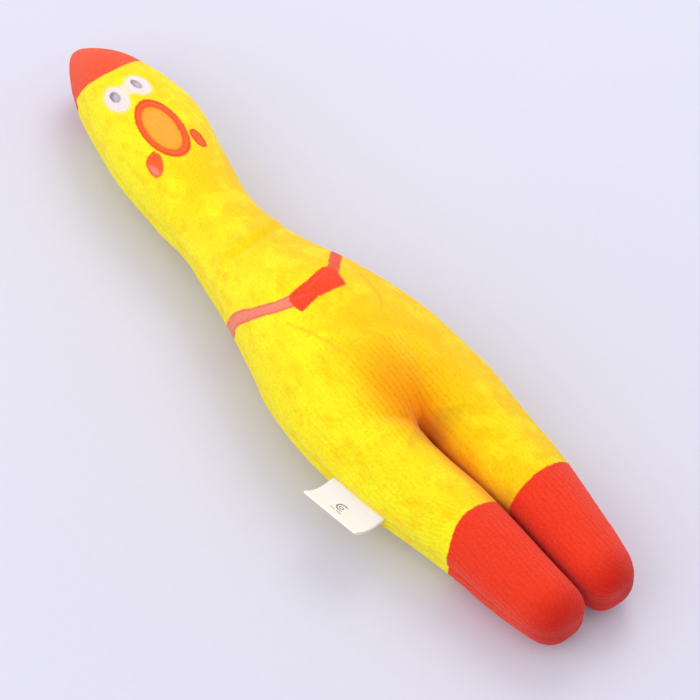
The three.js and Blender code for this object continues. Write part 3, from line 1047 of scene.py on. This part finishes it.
def add_label():
    """A tape folded double, caught in the left seam, its folded edge lifted and rolled."""
    width = LABEL["high_y"] - LABEL["low_y"]
    along = np.linspace(0, width, 45)
    out = np.linspace(-LABEL["tucked"], LABEL["reach"], 40)
    turn = np.linspace(0, math.pi, 9)[1:-1]
    top = np.stack([out, np.full_like(out, 1.0)], axis=1)
    nose = np.stack([LABEL["reach"] + LABEL["fold"] * np.sin(turn), np.cos(turn)], axis=1)
    far, face = np.concatenate([top, nose, top[::-1] * [1, -1]]).T
    reach = np.maximum(far, 0) / LABEL["reach"]
    roll = 3.4 * reach ** 2.6 - 0.7 * np.sin(math.pi * np.clip(reach, 0, 1))
    rows = []
    tape = []
    for place in along:
        y = LABEL["low_y"] + place
        share = place / width
        lift = roll + 0.4 * math.sin(2.4 * share + 0.4) * reach
        spread = LABEL["fold"] * (0.55 + 0.9 * reach * abs(share - 0.35))
        seam_x = middle_x(y) - half_width(y) + SEAM_DEPTH
        x = seam_x - far * (1 - 0.03 * reach)
        rows.append(np.stack([x, y - 0.6 * reach, seam_z(y) + lift + face * spread], axis=1))
        tape.append(np.stack([np.full_like(far, place - width / 2), far, (face > 0).astype(float)], axis=1))
    points = np.array(rows).reshape(-1, 3)
    ids = np.arange(len(points)).reshape(len(along), -1)
    label = add_mesh("care_label_tape", points, grid_faces(ids), tape_material(), None,
                     {"tape": np.array(tape).reshape(-1, 3)})
    solid = label.modifiers.new("ply", "SOLIDIFY")
    solid.thickness = LABEL["ply"] * MM
    solid.offset = 0
    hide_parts("care_label")
    bend_hip(label)


def thread_tube(name, path, radius, material):
    """A round thread along a path, with closed ends."""
    path = np.array(path)
    ahead = np.gradient(path, axis=0)
    ahead /= np.linalg.norm(ahead, axis=1, keepdims=True)
    side = np.cross(ahead, [0.0, 0.13, 1.0])
    side /= np.linalg.norm(side, axis=1, keepdims=True)
    other = np.cross(ahead, side)
    angles = np.linspace(0, 2 * math.pi, THREAD_SIDES, endpoint=False)
    rings = path[:, None] + radius * (
        np.cos(angles)[None, :, None] * side[:, None] + np.sin(angles)[None, :, None] * other[:, None])
    made = add_capped_tube(name, rings, material)
    length = np.concatenate([[0], np.cumsum(np.linalg.norm(np.diff(path, axis=0), axis=1))])
    values = np.zeros((len(made.data.vertices), 3), np.float32)
    grid = values[:len(path) * THREAD_SIDES].reshape(-1, THREAD_SIDES, 3)
    grid[:, :, 0] = angles / (2 * math.pi)
    grid[:, :, 1] = length[:, None]
    layer = made.data.attributes.new("thread", "FLOAT_VECTOR", "POINT")
    layer.data.foreach_set("vector", values.ravel())
    return made


def add_closing_stitches():
    """Whip stitches in one thread that close the right seam after stuffing."""
    turns = round((STITCH["high_y"] - STITCH["low_y"]) / STITCH["pitch"])
    path = []
    for angle in np.linspace(0, 2 * math.pi * turns, turns * 16 + 1):
        y = STITCH["low_y"] + STITCH["pitch"] * angle / (2 * math.pi) + STITCH["slant"] * math.sin(angle)
        outward = 0.55 + 0.45 * math.cos(2 * angle)
        x = middle_x(y) + half_width(y) - SEAM_DEPTH + 0.15 + outward
        path.append((float(x), float(y), float(seam_z(y)) + STITCH["reach"] * math.sin(angle)))
    thread = thread_tube("closing_thread", path, STITCH["radius"], thread_material())
    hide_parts("closing_stitches")
    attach(thread, "torso")


def dress_squeaker():
    """The squeaker's CAD parts keep their shapes and get moulded plastic."""
    bulb = plastic_material("squeaker_plastic", (233, 238, 240), 0.38)
    reed = plastic_material("reed_plastic", (242, 242, 234), 0.3)
    looks = {"squeaker_bulb_lower": bulb, "squeaker_bulb_upper": bulb, "reed_holder": reed, "reed": reed}
    for node, material in looks.items():
        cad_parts[node].data.materials.clear()
        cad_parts[node].data.materials.append(material)


# ---- stage -----------------------------------------------------------------------------------
def direction(azimuth, elevation):
    a, e = math.radians(azimuth), math.radians(elevation)
    return Vector((math.sin(a) * math.cos(e), -math.cos(a) * math.cos(e), math.sin(e)))


def aim(made, target, azimuth, elevation, distance):
    back = direction(azimuth, elevation)
    made.location = Vector(target) * MM + back * distance * MM
    made.rotation_mode = "QUATERNION"
    made.rotation_quaternion = (-back).to_track_quat("-Z", "Y")
    bpy.context.scene.collection.objects.link(made)


def add_camera():
    data = bpy.data.cameras.new("camera")
    data.lens = CAMERA["lens"]
    data.sensor_width = 36
    data.clip_start, data.clip_end = 0.01, 20
    camera = bpy.data.objects.new("camera", data)
    aim(camera, CAMERA["target"], CAMERA["azimuth"], CAMERA["elevation"], CAMERA["distance"])
    bpy.context.scene.camera = camera


def add_light(name, azimuth, elevation, size, power, colour):
    data = bpy.data.lights.new(name, "AREA")
    data.shape = "DISK"
    data.size = size * MM
    data.energy = power
    data.color = colour
    aim(bpy.data.objects.new(name, data), LIGHT_TARGET, azimuth, elevation, LIGHT_DISTANCE)


def add_floor():
    painter = Painter("floor", roughness=0.9, specular=0.1)
    place = painter.tree.nodes.new("ShaderNodeTexCoord").outputs["Object"]
    grain = painter.noise(place, 400, 2)
    colour = painter.over(linear((211, 210, 224)), linear((214, 213, 227)), grain)
    material = painter.finish(colour, grain, 0.01)
    half = FLOOR_SIZE / 2
    corners = np.array([(-half, -half, 0), (half, -half, 0), (half, half, 0), (-half, half, 0)])
    floor = add_mesh("floor", corners, np.array([[0, 1, 2, 3]]), material)


def add_world():
    world = bpy.data.worlds.new("studio")
    world.use_nodes = True
    background = world.node_tree.nodes["Background"]
    background.inputs["Color"].default_value = WORLD_COLOUR
    background.inputs["Strength"].default_value = WORLD_STRENGTH
    bpy.context.scene.world = world


bpy.context.scene.view_settings.view_transform = "Standard"
add_camera()
add_world()
for light_name, light in LIGHTS.items():
    add_light(light_name, **light)
add_floor()
add_skin()
add_fillings()
add_label()
add_closing_stitches()
dress_squeaker()
